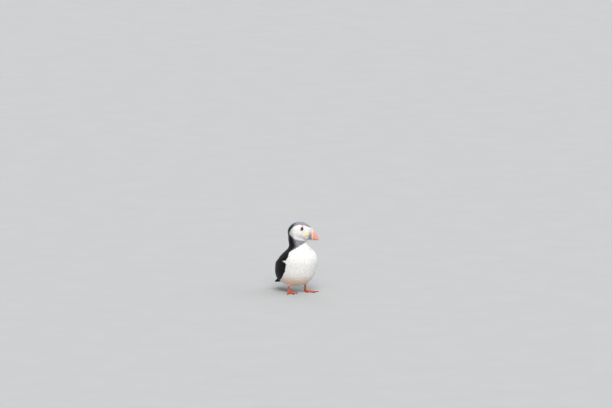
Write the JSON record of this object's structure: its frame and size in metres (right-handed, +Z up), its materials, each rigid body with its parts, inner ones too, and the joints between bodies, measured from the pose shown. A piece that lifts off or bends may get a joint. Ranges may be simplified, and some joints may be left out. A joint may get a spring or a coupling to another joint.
{
  "type": "atlantic puffin",
  "caption": "Life-size Atlantic puffin standing upright on webbed feet with folded wings, its head turned to its left.",
  "frame": {"origin": "on the floor under the middle of the bird's bounding box", "axes": "+Z up, the breast faces -Y and the bird's left side is towards +X"},
  "size_m": [0.111, 0.1578, 0.1917],
  "materials": {
    "white_plumage": "soft matt feathers",
    "black_plumage": "close feathers with a faint sheen",
    "collar_plumage": "short matt feathers",
    "face_plumage": "short dense feathers",
    "bill_horn": "waxy horn",
    "bill_ridge": "waxy horn",
    "rosette": "soft wrinkled skin",
    "eye": "wet gloss",
    "leg_skin": "scaly skin",
    "claw": "horn"
  },
  "bodies": {
    "root": {"trunk": "white_plumage", "back": "black_plumage", "neck": "collar_plumage", "tail": "black_plumage", "wing_left": "black_plumage", "wing_right": "black_plumage", "head": "face_plumage", "bill_upper": "bill_horn", "bill_lower": "bill_horn", "bill_base_ridge": "bill_ridge", "rosette_left": "rosette", "rosette_right": "rosette", "eye_left": "eye", "eye_right": "eye", "tarsus_left": "leg_skin", "tarsus_right": "leg_skin", "foot_left": "leg_skin", "foot_right": "leg_skin", "claw_inner_left": "claw", "claw_middle_left": "claw", "claw_outer_left": "claw", "claw_inner_right": "claw", "claw_middle_right": "claw", "claw_outer_right": "claw"}
  },
  "joints": []
}
